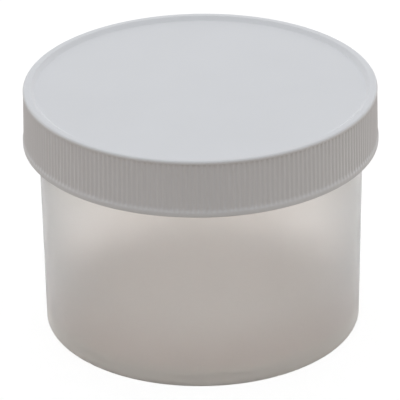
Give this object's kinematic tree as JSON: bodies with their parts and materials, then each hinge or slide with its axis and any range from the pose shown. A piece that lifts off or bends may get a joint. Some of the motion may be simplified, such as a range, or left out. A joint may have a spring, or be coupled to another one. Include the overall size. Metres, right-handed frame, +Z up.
{
  "type": "slide staining jar",
  "caption": "Round wide-mouth translucent plastic jar with a white ribbed screw cap and a flat sealing liner.",
  "frame": {"origin": "centre of the base, on the ground", "axes": "+Z up along the screw's axis, from the base to the cap"},
  "size_m": [0.0926, 0.0926, 0.0662],
  "materials": {
    "natural_polypropylene": "satin",
    "white_polypropylene": "satin",
    "liner_foam": "matte"
  },
  "bodies": {
    "jar": {"jar": "natural_polypropylene"},
    "liner": {"liner": "liner_foam"},
    "cap": {"cap": "white_polypropylene"}
  },
  "joints": [
    {"name": "cap_lift", "type": "slide", "parent": "jar", "child": "liner", "axis": [0, 0, 1], "range_m": [0, 0.0153]},
    {"name": "cap_turn", "type": "hinge", "parent": "liner", "child": "cap", "pos_m": [0, 0, 0.0586], "axis": [0, 0, 1], "range_deg": [0, 1080]}
  ],
  "couplings": [
    {"joint": "cap_lift", "follows": "cap_turn", "m_per_rad": 0.00080851}
  ]
}
